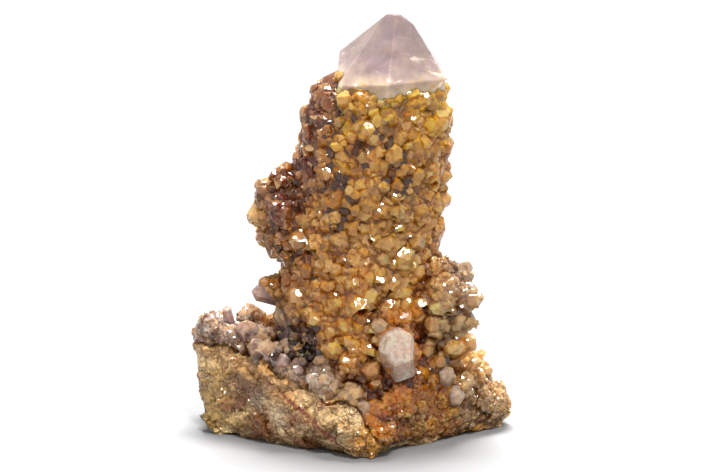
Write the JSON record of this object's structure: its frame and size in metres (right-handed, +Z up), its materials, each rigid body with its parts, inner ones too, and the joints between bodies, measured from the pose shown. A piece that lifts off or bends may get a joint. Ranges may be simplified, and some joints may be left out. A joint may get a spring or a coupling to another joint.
{
  "type": "spirit quartz cluster",
  "caption": "Upright quartz crystal coated below its clear tip with small druse crystals, standing on its own broken block of vein quartz.",
  "frame": {"origin": "under the middle of the specimen, on the flat break that it rests on", "axes": "+Z up, +X towards the low end of the block and the side to which the point leans, -Y towards the front with the large pale crystal"},
  "size_m": [0.0684, 0.0434, 0.0899],
  "materials": {
    "druse_quartz": "glossy small crystal faces, honey to brown with iron stain, a little see-through",
    "amethyst": "satin crystal faces, pale lilac, see-through with milky veils",
    "vein_quartz": "rough broken quartz, cream, grey and brown"
  },
  "bodies": {
    "root": {"spirit_quartz_cluster": "druse_quartz"}
  },
  "joints": []
}
